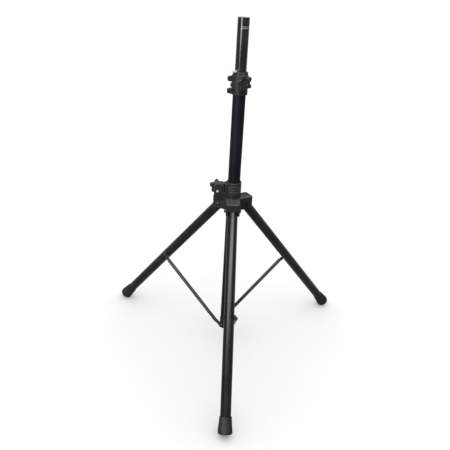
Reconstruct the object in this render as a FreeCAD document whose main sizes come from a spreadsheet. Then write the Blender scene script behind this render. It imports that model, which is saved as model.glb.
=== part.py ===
import FreeCAD, Part
import math
import os

import Sketcher
from FreeCAD import Placement, Rotation, Vector

# Folding tripod stand with a telescopic mast. Millimetres and degrees, +Z up.
# The origin is the floor point under the mast; the front leg points to -Y.
# Legs, braces and their fasteners are placed in a leg frame: X runs outward from
# the mast, Y along the hinge pins and Z up. The leg frame then turns about the mast.
SIZES = {
    # telescopic mast
    "inner_tube_radius": 17.5,
    "inner_tube_wall": 2.0,
    "inner_tube_length": 860.0,
    "inner_tube_showing": 151.0,
    "inner_tube_seat_length": 140.0,
    "inner_tube_groove_width": 1.5,
    "inner_tube_groove_depth": 0.3,
    "outer_tube_radius": "=inner_tube_radius + 2.5",
    "outer_tube_wall": 1.5,
    "outer_tube_length": 888.0,
    "outer_tube_foot_height": 52.0,
    "top_cap_lip": 2.5,
    "top_cap_depth": 14.0,
    "guide_bush_length": 40.0,
    "guide_bush_floor": 4.0,
    # upper collar and its clamp
    "collar_radius": "=outer_tube_radius + 4.5",
    "collar_height": 67.0,
    "collar_rim_radius": "=outer_tube_radius + 3",
    "collar_rim_height": 7.0,
    "collar_grip_depth": 28.0,
    "collar_lip": 2.5,
    "collar_bevel": 1.5,
    "collar_boss_radius": 11.5,
    "collar_boss_reach": "=outer_tube_radius + 15",
    "collar_knob_drop": 22.0,
    "collar_knob_azimuth": 283.0,
    "collar_knob_turn": 36.0,
    "collar_screw_radius": 2.5,
    "collar_screw_azimuth": 45.0,
    "collar_screw_head": 1.0,
    "collar_step": 0.4,
    "lug_azimuth": 183.0,
    "lug_reach": "=outer_tube_radius + 18",
    "lug_width": 15.0,
    "lug_root_height": 18.0,
    "lug_tip_height": 11.0,
    "lug_low_centre": 10.0,
    "lug_high_centre": 46.0,
    "lug_round": 2.5,
    "lug_bump_radius": 6.0,
    "lug_bump_reach": "=outer_tube_radius + 8.5",
    "pad_radius": 6.5,
    "pad_thickness": 4.0,
    "insert_length": 9.0,
    "insert_shoulder": 1.5,
    # clamp knobs, shared by the collar and the yoke
    "stud_radius": 4.0,
    "knob_core_radius": 15.5,
    "knob_lobe_radius": 8.0,
    "knob_lobe_centre": 16.0,
    "knob_thickness": 16.0,
    "knob_edge_round": 4.0,
    "knob_hub_radius": 10.0,
    "knob_hub_length": 6.0,
    "knob_dish_radius": 9.0,
    "knob_dish_depth": 1.5,
    "knob_floor": 4.0,
    # safety pin
    "pin_radius": 3.0,
    "pin_rise": 4.0,
    "pin_tip_reach": "=inner_tube_radius + 3.5",
    "pin_azimuth": 231.0,
    "pin_hole_pitch": 100.0,
    "pin_tab_side": 14.0,
    "pin_tab_thickness": 3.0,
    "pin_neck": 4.0,
    # yoke: sleeve, arms and split clamp
    "yoke_sleeve_radius": "=outer_tube_radius + 3.6",
    "yoke_sleeve_above_pivot": 84.0,
    "yoke_sleeve_below_pivot": 29.0,
    "yoke_band_radius": "=outer_tube_radius + 5",
    "yoke_flange_radius": "=outer_tube_radius + 7.6",
    "yoke_nose_radius": "=outer_tube_radius + 2.6",
    "yoke_flange_rise": 12.0,
    "yoke_flange_height": 6.0,
    "yoke_band_bevel": 0.8,
    "yoke_band_top_height": 9.0,
    "yoke_band_height": 6.0,
    "yoke_groove_height": 3.0,
    "liner_set_back": 2.0,
    "liner_thickness": 1.3,
    "arm_half_width": "=leg_radius + 6.5",
    "arm_reach": "=pivot_radius + leg_radius + 4",
    "arm_above_pivot": "=leg_radius + 12.5",
    "arm_below_pivot": 13.0,
    "arm_roof": 5.0,
    "arm_end_wall": 3.0,
    "arm_corner_round": 9.0,
    "arm_edge_round": 4.0,
    "arm_side_gap": 0.7,
    "arm_lip_gap": 1.7,
    "panel_length": 24.0,
    "panel_width": "=leg_radius * 2 - 9",
    "panel_depth": 1.2,
    "panel_inset": 8.0,
    "ear_azimuth": 185.0,
    "ear_thickness": 13.0,
    "ear_reach": "=outer_tube_radius + 44",
    "ear_height": 48.0,
    "ear_round": 9.0,
    "ear_slit": 4.0,
    "ear_drop": 5.0,
    "ear_relief_start": "=outer_tube_radius + 8.5",
    "ear_relief_width": 6.5,
    "ear_relief_depth": 6.0,
    "ear_relief_height": 30.0,
    "ear_screw_radius": "=outer_tube_radius + 34",
    "washer_radius": 9.5,
    "washer_thickness": 2.0,
    "nut_radius": 7.4,
    "nut_thickness": 6.5,
    "nut_sink": 0.2,
    "pivot_nut_thickness": 6.0,
    # legs
    "leg_angle": 39.0,
    "leg_radius": 16.5,
    "leg_wall": 1.5,
    "pivot_radius": "=outer_tube_radius + leg_radius + 9.5",
    "pivot_height": 545.0,
    "pivot_bolt_radius": 4.0,
    "bolt_head_radius": 7.5,
    "bolt_head_height": 4.0,
    "leg_end_above_pivot": 7.0,
    "head_lip": 3.0,
    "head_depth": 34.0,
    "foot_radius": "=leg_radius + 5.5",
    "foot_mouth_radius": "=leg_radius + 2.5",
    "foot_length": 50.0,
    "foot_sole": 9.0,
    "foot_bell": 12.0,
    "foot_neck": 6.0,
    "foot_round": 5.0,
    # braces, their rivets on the legs and the lower collar
    "brace_reach_on_leg": 344.5,
    "brace_radius": 6.25,
    "brace_wall": 1.2,
    "brace_eye_radius": 9.0,
    "brace_eye_thickness": 3.5,
    "brace_eye_width": 16.0,
    "brace_taper": 20.0,
    "rivet_radius": 3.5,
    "rivet_head_radius": 6.5,
    "rivet_head_height": 2.6,
    "low_pivot_radius": 6.0,
    "low_pivot_height": 61.0,
    "low_pivot_gap": 1.0,
    "low_screw_radius": 3.0,
    "low_collar_wall": 1.4,
    "low_collar_height": 34.0,
    "low_collar_floor": 4.0,
    "low_boss_radius": 9.0,
    "low_drain_radius": 10.0,
    # clearances
    "fit_gap": 0.05,
    "part_gap": 0.3,
    "overcut": 5.0,
}
LEG_AZIMUTHS = {"front": 270.0, "right": 30.0, "left": 150.0}
KNOB_LOBES = 5
KNOB_UNDER_SHARE = 0.6  # of the edge round, taken off under the lobes
KNOB_CORNER_SHARE = 0.3  # of the edge round, kept at the middle of the top edge
PIN_HOLES = 7
YOKE_BANDS = 4
HEAD_TOP_SHARE = 0.7  # radius of a screw head's flat top, of its full radius
TOLERANCE = 0.01


class Size:
    """A number with the sheet expression that gives it."""

    def __init__(self, text, number):
        self.text, self.number = text, number

    @staticmethod
    def of(other):
        return other if isinstance(other, Size) else Size(repr(float(other)), float(other))

    def join(self, sign, other, number):
        return Size(f"({self.text} {sign} {other.text})", number)

    def __add__(self, other):
        other = Size.of(other)
        return self.join("+", other, self.number + other.number)

    def __sub__(self, other):
        other = Size.of(other)
        return self.join("-", other, self.number - other.number)

    def __mul__(self, other):
        other = Size.of(other)
        return self.join("*", other, self.number * other.number)

    def __truediv__(self, other):
        other = Size.of(other)
        return self.join("/", other, self.number / other.number)

    def __rsub__(self, other):
        return Size.of(other) - self

    def __neg__(self):
        return Size(f"(0 - {self.text})", -self.number)

    def __float__(self):
        return self.number

    __radd__, __rmul__ = __add__, __mul__


def sine(angle):
    return Size(f"sin({angle.text} * 1deg)", math.sin(math.radians(angle.number)))


def cosine(angle):
    return Size(f"cos({angle.text} * 1deg)", math.cos(math.radians(angle.number)))


doc = FreeCAD.newDocument("TripodStand")
sheet = doc.addObject("Spreadsheet::Sheet", "Sizes")
for row, alias in enumerate(SIZES, start=1):
    sheet.set(f"A{row}", alias.replace("_", " "))
    sheet.setAlias(f"B{row}", alias)
# a size that starts with = follows other sizes, so what fits together stays together
for row, size in enumerate(SIZES.values(), start=1):
    sheet.set(f"B{row}", str(size))
doc.recompute()


class SizeTable:
    """Gives each cell of the sheet by its alias, as a Size."""

    def __getattr__(self, alias):
        return Size(f"Sizes.{alias}", float(sheet.get(alias)))


dim = SizeTable()
pieces = []


# ---------------------------------------------------------------- helpers
def bind(item, **sizes):
    for name, size in sizes.items():
        size = Size.of(size)
        setattr(item, name, size.number)
        item.setExpression(name, size.text)
    return item


def at(x=0.0, y=0.0, z=0.0, rotation=Rotation()):
    return Placement(Vector(float(x), float(y), float(z)), rotation)


def turned(azimuth):
    return at(rotation=Rotation(Vector(0, 0, 1), float(azimuth)))


ALONG_X = Rotation(Vector(0, 1, 0), 90)
ALONG_Y = Rotation(Vector(1, 0, 0), -90)


def primitive(kind, name, place, **sizes):
    item = bind(doc.addObject(f"Part::{kind}", name), **sizes)
    item.Placement = place
    return item


def rod(name, radius, length, place=Placement()):
    return primitive("Cylinder", name, place, Radius=radius, Height=length)


def hexagon(name, radius, height, place):
    prism = primitive("Prism", name, place, Circumradius=radius, Height=height)
    prism.Polygon = 6
    return prism


def block(name, x_range, y_range, z_range, place=Placement()):
    (x_low, x_high), (y_low, y_high), (z_low, z_high) = x_range, y_range, z_range
    return primitive(
        "Box", name, place * at(x_low, y_low, z_low),
        Length=x_high - x_low, Width=y_high - y_low, Height=z_high - z_low,
    )


def fuse(name, items, place=Placement()):
    joined = doc.addObject("Part::MultiFuse", name)
    joined.Shapes = items
    joined.Refine = True
    joined.Placement = place
    return joined


def cut(name, base, tools, place=Placement()):
    result = doc.addObject("Part::Cut", name)
    result.Base = base
    result.Tool = tools[0] if len(tools) == 1 else fuse(f"{name}_tools", tools)
    result.Refine = True
    result.Placement = place
    return result


def common(name, first, second):
    result = doc.addObject("Part::Common", name)
    result.Base, result.Tool = first, second
    return result


def group(name, items):
    bundle = doc.addObject("Part::Compound", name)
    bundle.Links = items
    return bundle


def rounded(name, base, radius, wanted):
    """Rounds the edges of base that the test picks."""
    doc.recompute()
    result = doc.addObject("Part::Fillet", name)
    result.Base = base
    result.Edges = [
        (number, float(radius), float(radius))
        for number, edge in enumerate(base.Shape.Edges, start=1) if wanted(edge)
    ]
    return result


def outline_sketch(body, role, corners):
    """A closed outline whose corner places are bound to the sheet."""
    plane = next(item for item in body.Origin.OriginFeatures if item.Role == role)
    sketch = body.newObject("Sketcher::SketchObject", f"{body.Name}_outline")
    sketch.AttachmentSupport = [(plane, "")]
    sketch.MapMode = "FlatFace"
    corners = [(Size.of(across), Size.of(up)) for across, up in corners]
    points = [Vector(across.number, up.number, 0) for across, up in corners]
    for start, end in zip(points, points[1:] + points[:1]):
        sketch.addGeometry(Part.LineSegment(start, end), False)
    for index in range(len(points)):
        previous = (index - 1) % len(points)
        sketch.addConstraint(Sketcher.Constraint("Coincident", previous, 2, index, 1))
    for index, corner in enumerate(corners):
        for kind, axis, size in (("DistanceX", -2, corner[0]), ("DistanceY", -1, corner[1])):
            if size.number == 0.0:
                sketch.addConstraint(Sketcher.Constraint("PointOnObject", index, 1, axis))
                continue
            number = sketch.addConstraint(
                Sketcher.Constraint(kind, -1, 1, index, 1, size.number))
            sketch.setExpression(f"Constraints[{number}]", size.text)
    return sketch


def revolved(name, corners, place=Placement()):
    """A body turned about its Z axis from (radius, height) corners."""
    body = doc.addObject("PartDesign::Body", name)
    turn = body.newObject("PartDesign::Revolution", f"{name}_turn")
    sketch = outline_sketch(body, "XZ_Plane", corners)
    turn.Profile = sketch
    turn.ReferenceAxis = (sketch, ["V_Axis"])
    turn.Angle = 360
    body.Tip = turn
    sketch.Visibility = False
    body.Placement = place
    return body


def extruded(name, role, corners, width, place=Placement()):
    """A body padded evenly to both sides of an origin plane."""
    body = doc.addObject("PartDesign::Body", name)
    sketch = outline_sketch(body, role, corners)
    pad = body.newObject("PartDesign::Pad", f"{name}_pad")
    pad.Profile = sketch
    pad.Midplane = True
    bind(pad, Length=width)
    body.Tip = pad
    body.Placement = place
    return body


def tube_corners(inner, outer, low, high):
    return [(inner, low), (outer, low), (outer, high), (inner, high)]


def label(item, name):
    """Registers a finished piece under the name of its node."""
    item.Label = name
    pieces.append(item)
    return item


# ---------------------------------------------------------------- derived places
outer_bore = dim.outer_tube_radius - dim.outer_tube_wall
outer_top = dim.outer_tube_foot_height + dim.outer_tube_length
collar_low = outer_top - dim.collar_grip_depth
collar_top = collar_low + dim.collar_height
mast_top = collar_top + dim.inner_tube_showing
inner_low = mast_top - dim.inner_tube_length
collar_knob_height = collar_top - dim.collar_knob_drop
pin_height = collar_top + dim.pin_rise
pivot_fit = dim.pivot_bolt_radius + dim.fit_gap
stud_fit = dim.stud_radius + dim.fit_gap
stud_clear = dim.stud_radius + dim.part_gap
pad_clear = dim.pad_radius + dim.part_gap
insert_radius = pad_clear + dim.insert_shoulder
bush_outside = dim.outer_tube_radius - dim.collar_step
rivet_fit = dim.rivet_radius + dim.fit_gap
sleeve_low = dim.pivot_height - dim.yoke_sleeve_below_pivot
sleeve_high = dim.pivot_height + dim.yoke_sleeve_above_pivot
ear_middle = sleeve_high - dim.ear_drop - dim.ear_height / 2
ear_outside = dim.ear_slit / 2 + dim.ear_thickness
knob_height = dim.knob_hub_length + dim.knob_thickness
junction_radius = dim.pivot_radius + dim.brace_reach_on_leg * sine(dim.leg_angle)
junction_height = dim.pivot_height - dim.brace_reach_on_leg * cosine(dim.leg_angle)
brace_rise = float(junction_height - dim.low_pivot_height)
brace_run = float(junction_radius - dim.low_pivot_radius)
brace_length = math.hypot(brace_rise, brace_run)
brace_angle = math.degrees(math.atan2(brace_run, brace_rise))
# a brace's eyes are pressed flat on its inner side: one lies on the leg, and the
# other stands further out, clear of the lower collar
low_collar_outside = dim.outer_tube_radius + dim.low_collar_wall
top_eye_near = dim.leg_radius + dim.part_gap
low_eye_near = low_collar_outside + dim.low_pivot_gap
# the rounded rim of the sole touches the floor
foot_end = dim.foot_round + (
    dim.pivot_height - (dim.foot_radius - dim.foot_round) * sine(dim.leg_angle) - dim.foot_round
) / cosine(dim.leg_angle)


def leg_frame(azimuth):
    """Pivot of a leg, with -Z running down the leg."""
    return turned(azimuth) * at(
        dim.pivot_radius, 0, dim.pivot_height, Rotation(Vector(0, 1, 0), -float(dim.leg_angle)))


def brace_frame(azimuth):
    """Upper pivot of a brace, with -Z running down to the lower collar."""
    return turned(azimuth) * at(
        junction_radius, 0, junction_height, Rotation(Vector(0, 1, 0), brace_angle))


collar_knob_side = turned(dim.collar_knob_azimuth) * at(0, 0, collar_knob_height, ALONG_X)


# ---------------------------------------------------------------- mast
def make_outer_tube():
    tube = revolved("OuterTubeBlank", tube_corners(
        outer_bore, dim.outer_tube_radius, dim.outer_tube_foot_height, outer_top))
    label(cut("OuterTube", tube, collar_screw_holes("OuterTube")), "outer_tube")


def make_inner_tube():
    """The upper pole, with a shallow groove that marks the foot of the loudspeaker's seat."""
    inside, outside = dim.inner_tube_radius - dim.inner_tube_wall, dim.inner_tube_radius
    groove = outside - dim.inner_tube_groove_depth
    groove_top = mast_top - dim.inner_tube_seat_length
    groove_low = groove_top - dim.inner_tube_groove_width
    tube = revolved("InnerTubeBlank", [
        (inside, inner_low), (outside, inner_low), (outside, groove_low), (groove, groove_low),
        (groove, groove_top), (outside, groove_top), (outside, mast_top), (inside, mast_top)])
    bores = [
        rod(f"InnerTubePinHole{index}", dim.pin_radius + dim.fit_gap, dim.inner_tube_radius * 3,
            turned(dim.pin_azimuth) * at(
                dim.inner_tube_radius * -1.5, 0, pin_height - dim.pin_hole_pitch * index, ALONG_X))
        for index in range(PIN_HOLES)
    ]
    label(cut("InnerTube", tube, bores), "inner_tube")
    plug = dim.inner_tube_radius - dim.inner_tube_wall - dim.fit_gap
    shoulder = plug - dim.top_cap_lip
    label(revolved("TopCap", [
        (0, mast_top), (plug, mast_top), (plug, mast_top - dim.top_cap_depth),
        (shoulder, mast_top - dim.top_cap_depth), (shoulder, mast_top - dim.top_cap_lip),
        (0, mast_top - dim.top_cap_lip),
    ]), "top_cap")


def make_guide_bush():
    """A cup under the inner tube that runs in the outer tube."""
    plug = dim.inner_tube_radius - dim.inner_tube_wall - dim.fit_gap
    skirt = outer_bore - dim.fit_gap
    low = inner_low - dim.part_gap
    high = low + dim.guide_bush_length
    label(revolved("GuideBush", [
        (0, low - dim.guide_bush_floor), (skirt, low - dim.guide_bush_floor), (skirt, low),
        (plug, low), (plug, high), (plug - dim.guide_bush_floor, high),
        (plug - dim.guide_bush_floor, low), (0, low),
    ]), "guide_bush")


def collar_screw_places():
    height = collar_low + dim.collar_grip_depth / 2
    return [turned(dim.collar_screw_azimuth + half_turn) * at(0, 0, height, ALONG_X)
            for half_turn in (0, 180)]


def collar_screw_holes(owner):
    return [rod(f"{owner}ScrewHole{index}", dim.collar_screw_radius + dim.fit_gap,
                dim.collar_radius + dim.overcut, place)
            for index, place in enumerate(collar_screw_places())]


def collar_lug(name, middle):
    """A tapered tab on the side of the collar, rounded at its tip."""
    root, tip = dim.lug_root_height / 2, dim.lug_tip_height / 2
    start = (dim.outer_tube_radius + dim.collar_radius) / 2
    blank = extruded(f"Lug{name}", "XZ_Plane", [
        (start, middle - root), (dim.lug_reach, middle - tip),
        (dim.lug_reach, middle + tip), (start, middle + root)], dim.lug_width)
    tip_face = float(dim.lug_reach) - TOLERANCE
    lug = rounded(f"LugRounded{name}", blank, dim.lug_round,
                  lambda edge: edge.BoundBox.XMin > tip_face)
    lug.Placement = turned(dim.lug_azimuth)
    return lug


def make_upper_collar():
    tube_fit = dim.outer_tube_radius + dim.fit_gap
    lip_low = collar_top - dim.collar_lip
    rim_low = collar_top - dim.collar_rim_height
    mouth = dim.inner_tube_radius + dim.part_gap
    shell = revolved("CollarShell", [
        (tube_fit, collar_low), (dim.collar_radius - dim.collar_bevel, collar_low),
        (dim.collar_radius, collar_low + dim.collar_bevel),
        (dim.collar_radius, rim_low - dim.collar_bevel),
        (dim.collar_rim_radius - dim.collar_bevel, rim_low),
        (dim.collar_rim_radius, rim_low + dim.collar_bevel),
        (dim.collar_rim_radius, collar_top - dim.collar_bevel),
        (dim.collar_rim_radius - dim.collar_bevel, collar_top),
        (mouth, collar_top), (mouth, lip_low), (bush_outside, lip_low), (bush_outside, outer_top),
        (tube_fit, outer_top),
    ])
    boss = rod("CollarBoss", dim.collar_boss_radius, dim.collar_boss_reach, collar_knob_side)
    lugs = [collar_lug("Low", collar_low + dim.lug_low_centre),
            collar_lug("High", collar_low + dim.lug_high_centre)]
    between = collar_low + (dim.lug_low_centre + dim.lug_high_centre) / 2
    bump = rod("LugBump", dim.lug_bump_radius, dim.lug_bump_reach,
               turned(dim.lug_azimuth) * at(0, 0, between, ALONG_X))
    solid = fuse("CollarSolid", [shell, boss, bump] + lugs)
    insert_start = dim.collar_boss_reach - dim.insert_length
    tools = [
        rod("CollarCore", bush_outside, lip_low - outer_top, at(0, 0, outer_top)),
        rod("CollarLowCore", tube_fit, dim.collar_grip_depth + dim.overcut,
            at(0, 0, collar_low - dim.overcut)),
        rod("CollarMouth", mouth, dim.collar_lip + dim.overcut * 2,
            at(0, 0, lip_low - dim.overcut)),
        rod("CollarPadHole", pad_clear, dim.collar_boss_reach, collar_knob_side),
        rod("CollarInsertHole", insert_radius + dim.fit_gap, dim.insert_length + dim.overcut,
            collar_knob_side * at(0, 0, insert_start)),
    ] + collar_screw_holes("Collar")
    label(cut("UpperCollar", solid, tools), "upper_collar")

    bush = revolved("BushBlank", tube_corners(
        dim.inner_tube_radius + dim.fit_gap, bush_outside - dim.fit_gap,
        outer_top + dim.fit_gap, lip_low - dim.fit_gap))
    window = rod("BushWindow", pad_clear, dim.collar_radius, collar_knob_side)
    label(cut("CollarBush", bush, [window]), "collar_bush")
    label(revolved("CollarInsert", tube_corners(
        stud_fit, insert_radius, insert_start + dim.fit_gap, dim.collar_boss_reach),
        collar_knob_side), "collar_thread_insert")
    start, end = outer_bore + dim.part_gap, dim.collar_radius + dim.collar_screw_head
    screws = [revolved(f"CollarScrew{index}", tube_corners(
        0, dim.collar_screw_radius, start, end), place)
        for index, place in enumerate(collar_screw_places())]
    label(group("CollarScrews", screws), "collar_screws")


def make_lower_collar():
    """A cup on the foot of the outer tube, drilled for the screw of each brace."""
    low = dim.outer_tube_foot_height - dim.low_collar_floor
    shell = rod("LowCollarShell", low_collar_outside, dim.low_collar_height, at(0, 0, low))
    bosses, holes = [], []
    for name, azimuth in LEG_AZIMUTHS.items():
        side = turned(azimuth) * at(dim.low_pivot_radius, 0, dim.low_pivot_height, ALONG_Y)
        bosses.append(rod(f"LowBoss{name}", dim.low_boss_radius, low_collar_outside, side))
        holes.append(rod(f"LowHole{name}", dim.low_screw_radius + dim.fit_gap,
                         low_collar_outside + dim.overcut, side))
    solid = fuse("LowCollarSolid", [shell] + bosses)
    socket = rod("LowCollarSocket", dim.outer_tube_radius + dim.fit_gap,
                 dim.low_collar_height + dim.overcut, at(0, 0, dim.outer_tube_foot_height))
    drain = rod("LowCollarDrain", dim.low_drain_radius, dim.low_collar_floor + dim.overcut * 2,
                at(0, 0, low - dim.overcut))
    label(cut("LowerCollar", solid, [socket, drain] + holes), "lower_collar")


# ---------------------------------------------------------------- clamp knobs
def star_knob(name, place):
    """A lobed grip on a hub: the hub starts at 0 and +Z points away from the clamp."""
    low = dim.knob_hub_length
    lobes = [rod(f"{name}Core", dim.knob_core_radius, dim.knob_thickness, at(0, 0, low))]
    for index in range(KNOB_LOBES):
        spoke = turned(90 + index * 360 / KNOB_LOBES) * at(dim.knob_lobe_centre, 0, low)
        lobes.append(rod(f"{name}Lobe{index}", dim.knob_lobe_radius, dim.knob_thickness, spoke))
    star = fuse(f"{name}Star", lobes)
    reach = dim.knob_lobe_centre + dim.knob_lobe_radius
    edge = dim.knob_edge_round
    under, corner = edge * KNOB_UNDER_SHARE, edge * KNOB_CORNER_SHARE
    lens = revolved(f"{name}Lens", [
        (0, low), (reach - under, low), (reach, low + under), (reach, knob_height - edge),
        (reach - corner, knob_height - corner), (reach - edge, knob_height), (0, knob_height)])
    grip = common(f"{name}Grip", star, lens)
    hub = rod(f"{name}Hub", dim.knob_hub_radius, dim.knob_hub_length + dim.knob_thickness / 2)
    body = fuse(f"{name}Solid", [grip, hub])
    bore = rod(f"{name}Bore", stud_fit, knob_height - dim.knob_floor + dim.overcut,
               at(0, 0, -dim.overcut))
    dish = rod(f"{name}Dish", dim.knob_dish_radius, dim.knob_dish_depth + dim.overcut,
               at(0, 0, knob_height - dim.knob_dish_depth))
    return cut(name, body, [bore, dish], place)


def clamp_stud(name, place, start, hub):
    """A stud from start to near the floor of the knob whose hub stands at hub."""
    end = hub + knob_height - dim.knob_floor - dim.part_gap
    return rod(name, dim.stud_radius, end - start, place * at(0, 0, start))


def make_collar_clamp():
    pad_start = dim.inner_tube_radius + dim.part_gap
    hub = dim.collar_boss_reach + dim.part_gap
    label(rod("CollarPad", dim.pad_radius, dim.pad_thickness,
              collar_knob_side * at(0, 0, pad_start)), "collar_pressure_pad")
    label(clamp_stud("CollarStud", collar_knob_side,
                     pad_start + dim.pad_thickness + dim.part_gap, hub), "collar_knob_stud")
    label(star_knob("CollarKnob", collar_knob_side * at(0, 0, hub) * turned(
        dim.collar_knob_turn)), "collar_knob")


def make_yoke_clamp():
    """A through stud: nut in the front ear, washer and knob behind the rear ear."""
    screw = turned(dim.ear_azimuth) * at(dim.ear_screw_radius, 0, ear_middle)
    nut_low = ear_outside - dim.nut_thickness - dim.nut_sink
    nut = hexagon("ClampNutBlank", dim.nut_radius, dim.nut_thickness,
                  screw * at(0, nut_low, 0, ALONG_Y))
    bore = rod("ClampNutBore", stud_fit, dim.nut_thickness + dim.overcut * 2,
               screw * at(0, nut_low - dim.overcut, 0, ALONG_Y))
    label(cut("ClampNut", nut, [bore]), "yoke_clamp_nut")
    backward = screw * at(rotation=Rotation(Vector(1, 0, 0), 90))
    washer_low = ear_outside + dim.part_gap
    washer_high = washer_low + dim.washer_thickness
    label(revolved("ClampWasher", tube_corners(
        stud_fit, dim.washer_radius, washer_low, washer_high), backward), "yoke_clamp_washer")
    hub = washer_high + dim.part_gap
    label(clamp_stud("ClampStud", backward, dim.nut_sink * 2 - ear_outside, hub),
          "yoke_knob_stud")
    label(star_knob("YokeKnob", backward * at(0, 0, hub)), "yoke_knob")


def make_safety_pin():
    side = turned(dim.pin_azimuth) * at(0, 0, pin_height)
    tab_start = dim.inner_tube_radius + dim.pin_neck
    half = dim.pin_tab_side / 2
    shank = rod("PinShank", dim.pin_radius, dim.pin_tip_reach + tab_start + dim.pin_neck,
                side * at(-dim.pin_tip_reach, 0, 0, ALONG_X))
    diamond = at(tab_start + half * math.sqrt(2), 0, 0, Rotation(Vector(0, 0, 1), 45))
    thick = dim.pin_tab_thickness / 2
    tab = block("PinTab", (-half, half), (-half, half), (-thick, thick), side * diamond)
    label(fuse("SafetyPin", [shank, tab]), "safety_pin")


# ---------------------------------------------------------------- yoke
def yoke_sleeve():
    """The sleeve with its ribs above and its bearing flange and nose below."""
    corners = [(0, sleeve_high), (dim.yoke_band_radius - dim.yoke_band_bevel, sleeve_high)]
    top, height = sleeve_high, dim.yoke_band_top_height
    for index in range(YOKE_BANDS):
        if index:
            corners.append((dim.yoke_sleeve_radius, top))
        corners += [
            (dim.yoke_band_radius, top - dim.yoke_band_bevel),
            (dim.yoke_band_radius, top - height + dim.yoke_band_bevel),
            (dim.yoke_sleeve_radius, top - height),
        ]
        top, height = top - height - dim.yoke_groove_height, dim.yoke_band_height
    flange = sleeve_low + dim.yoke_flange_rise
    flange_top = flange + dim.yoke_flange_height
    corners += [
        (dim.yoke_sleeve_radius, flange_top + dim.yoke_band_bevel),
        (dim.yoke_flange_radius, flange_top), (dim.yoke_flange_radius, flange),
        (dim.yoke_nose_radius, sleeve_low), (0, sleeve_low),
    ]
    return revolved("YokeSleeve", corners)


def yoke_arm(name, azimuth):
    """A hood round the top of a leg, rounded at its outer corners and along its roof."""
    low = dim.pivot_height - dim.arm_below_pivot
    high = dim.pivot_height + dim.arm_above_pivot
    half = dim.arm_half_width
    solid = block(f"ArmBlock{name}", (Size.of(0), dim.arm_reach), (-half, half), (low, high))
    end_face = float(dim.arm_reach) - TOLERANCE
    cornered = rounded(f"ArmCorners{name}", solid, dim.arm_corner_round, lambda edge: (
        edge.BoundBox.XMin > end_face and edge.BoundBox.ZLength > TOLERANCE * 2))
    roof = float(high) - TOLERANCE
    soft = rounded(f"ArmSoft{name}", cornered, dim.arm_edge_round, lambda edge: (
        edge.BoundBox.ZMin > roof and edge.BoundBox.XMax > TOLERANCE))
    soft.Placement = turned(azimuth)
    return soft


def arm_tools(name, azimuth):
    """Slot for the leg, pin bore and the shallow panel on the roof."""
    frame = turned(azimuth)
    roof = dim.pivot_height + dim.arm_above_pivot
    ceiling = roof - dim.arm_roof
    floor = dim.pivot_height - dim.arm_below_pivot - dim.overcut
    back = dim.yoke_sleeve_radius + dim.part_gap
    front = dim.arm_reach - dim.arm_end_wall
    beyond = dim.arm_reach + dim.arm_half_width
    # the lip over the leg runs along the leg's upper side, a set gap away
    steepness = cosine(dim.leg_angle) / sine(dim.leg_angle)
    lift = (dim.leg_radius + dim.arm_lip_gap) / sine(dim.leg_angle)

    def lip(across):
        return dim.pivot_height + lift - (across - dim.pivot_radius) * steepness

    slot = extruded(f"ArmSlot{name}", "XZ_Plane", [
        (back, floor), (back, ceiling), (front, ceiling), (front, lip(front)),
        (beyond, lip(beyond)), (beyond, floor),
    ], (dim.leg_radius + dim.arm_side_gap) * 2, frame)
    pin = rod(f"ArmPinHole{name}", pivot_fit, dim.arm_half_width * 4, frame * at(
        dim.pivot_radius, dim.arm_half_width * -2, dim.pivot_height, ALONG_Y))
    panel_end = dim.arm_reach - dim.panel_inset
    panel = block(f"ArmPanel{name}", (panel_end - dim.panel_length, panel_end),
                  (dim.panel_width / -2, dim.panel_width / 2),
                  (roof - dim.panel_depth, roof + dim.overcut), frame)
    return [slot, pin, panel]


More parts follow.
